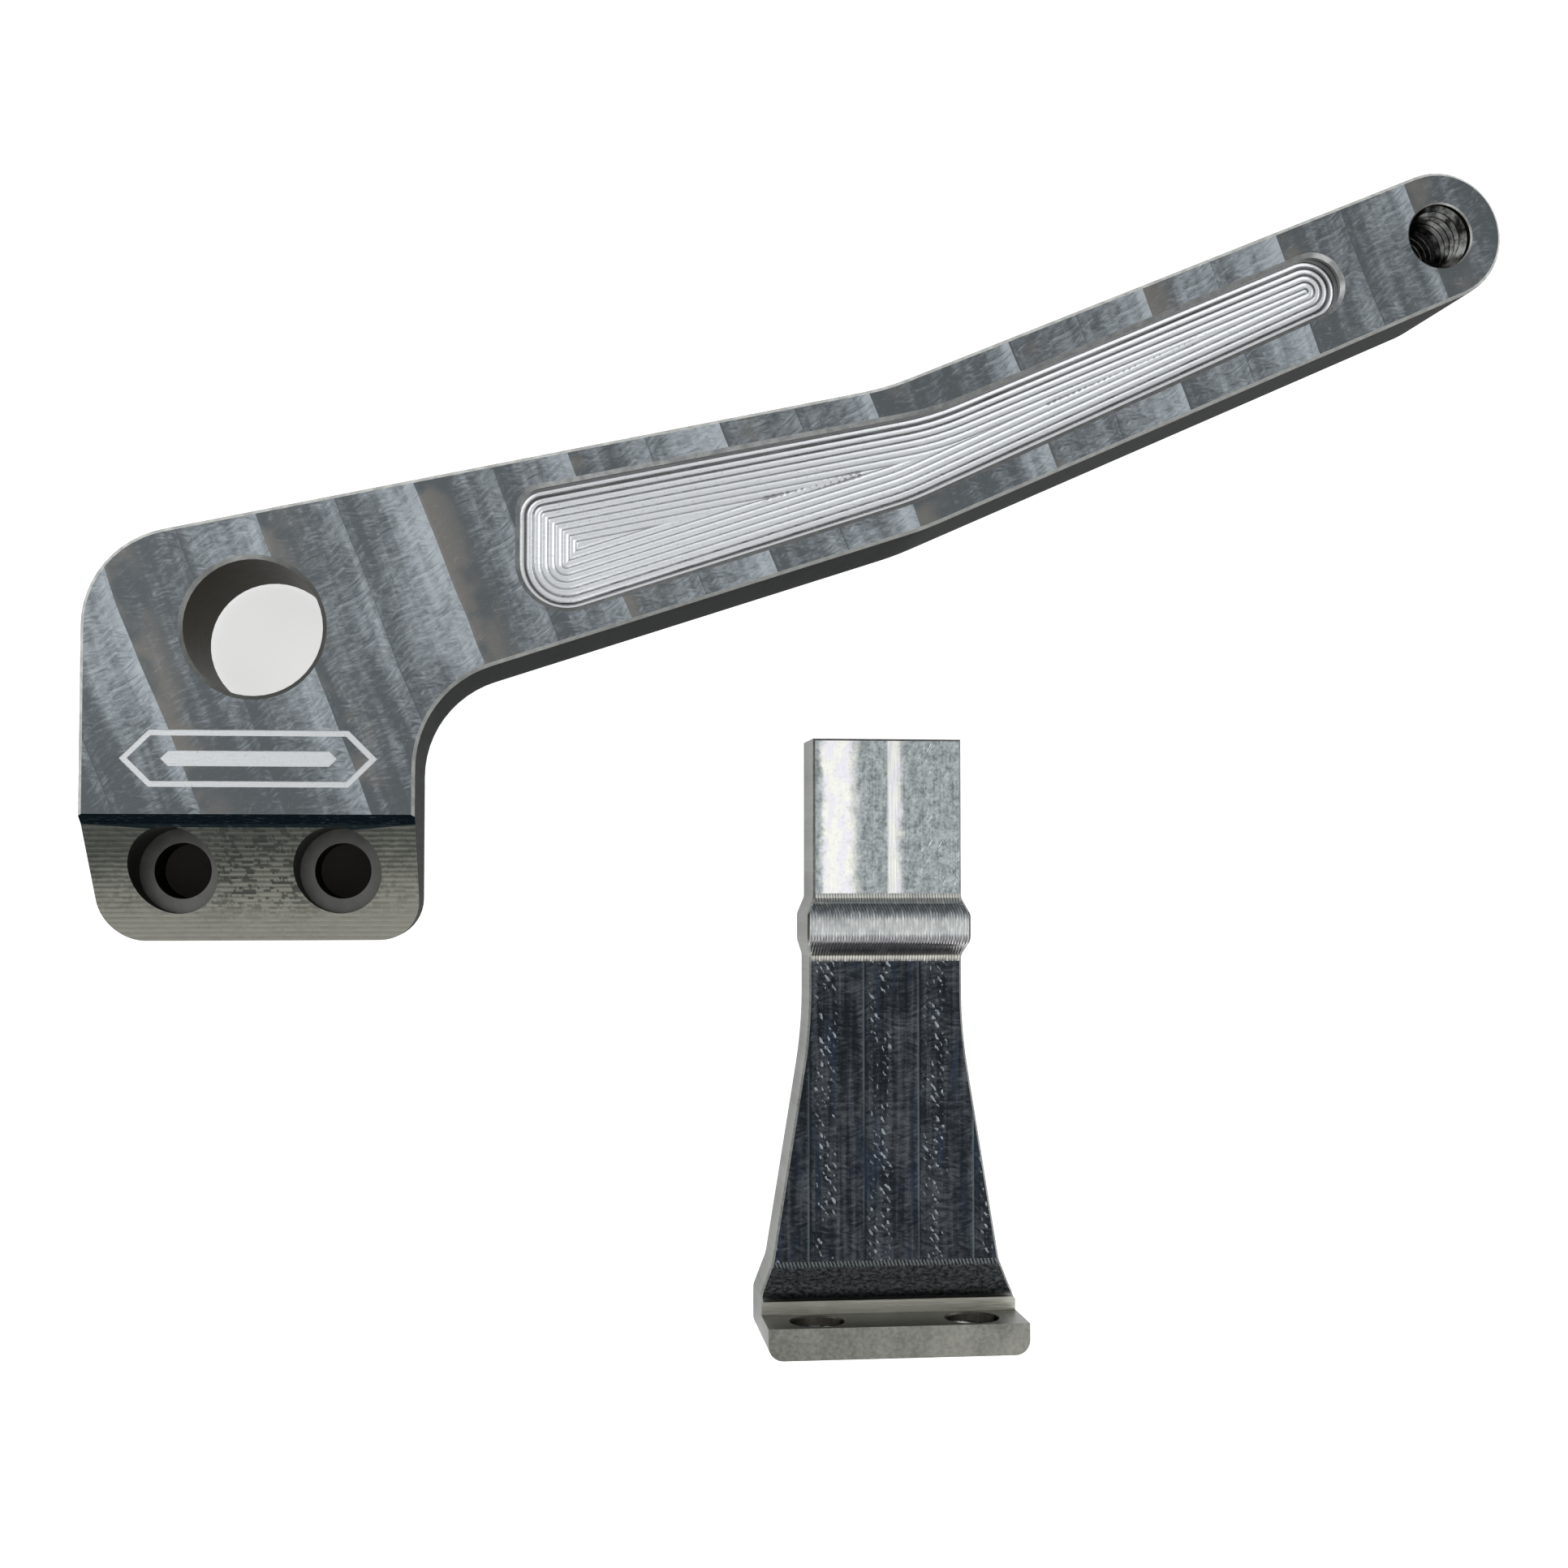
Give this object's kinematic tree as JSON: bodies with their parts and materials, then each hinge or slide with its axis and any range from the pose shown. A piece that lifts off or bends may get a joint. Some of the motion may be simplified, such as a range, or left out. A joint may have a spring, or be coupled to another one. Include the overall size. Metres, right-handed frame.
{
  "type": "brake shift lever",
  "caption": "Flat machined foot lever with a bent arm, pivot bore, threaded peg hole and slanted bolting foot, with its loose flared linkage bracket.",
  "frame": {"origin": "on the axis of the pivot bore, at the lever's back face", "axes": "+Z along the pivot axis out of the lever's engraved front face, +X towards the peg end of the arm, +Y up the front view, away from the bolting foot"},
  "size_m": [0.1709, 0.145, 0.0222],
  "materials": {
    "lever_metal": "face-milled, as machined",
    "bracket_metal": "ball-milled, as machined"
  },
  "bodies": {
    "lever": {"lever_arm": "lever_metal"},
    "bracket": {"linkage_bracket": "bracket_metal"}
  },
  "joints": [
    {"name": "bracket_lift", "type": "slide", "parent": "lever", "child": "bracket", "axis": [0, 0, 1], "range_m": [0, 0.05]}
  ]
}
